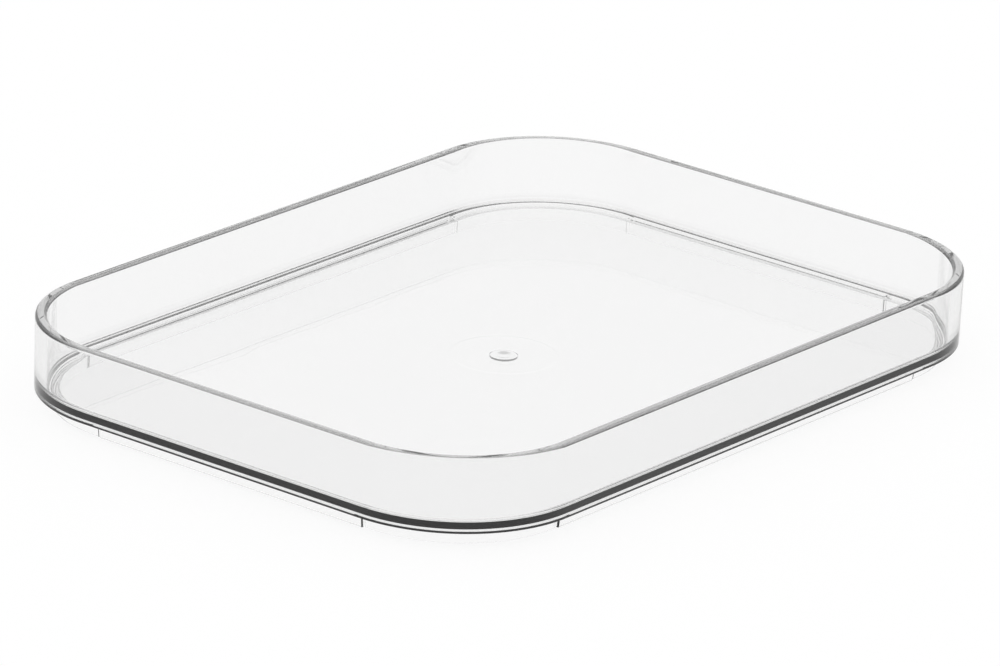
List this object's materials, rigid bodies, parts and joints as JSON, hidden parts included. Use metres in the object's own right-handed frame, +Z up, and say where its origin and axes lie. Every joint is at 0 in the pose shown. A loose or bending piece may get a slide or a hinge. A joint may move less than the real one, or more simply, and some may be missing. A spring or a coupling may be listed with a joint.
{
  "type": "clear storage tray",
  "caption": "Shallow clear rectangular tray with rounded corners, an upright wall and a set-in foot, so it stands flat or seats in the open rim of a matching box.",
  "frame": {"origin": "middle of the footprint, on the plane that the foot stands on", "axes": "+Z up out of the open top, +X along the longer side to the right, -Y to the front"},
  "size_m": [0.195, 0.142, 0.021],
  "materials": {
    "clear_plastic": "glossy, water clear"
  },
  "bodies": {
    "root": {"side_wall": "clear_plastic", "floor_panel": "clear_plastic", "gate_pad": "clear_plastic", "foot_corner_back_right": "clear_plastic", "foot_corner_back_left": "clear_plastic", "foot_corner_front_left": "clear_plastic", "foot_corner_front_right": "clear_plastic", "foot_rail_right": "clear_plastic", "foot_rail_back": "clear_plastic", "foot_rail_left": "clear_plastic", "foot_rail_front": "clear_plastic"}
  },
  "joints": []
}
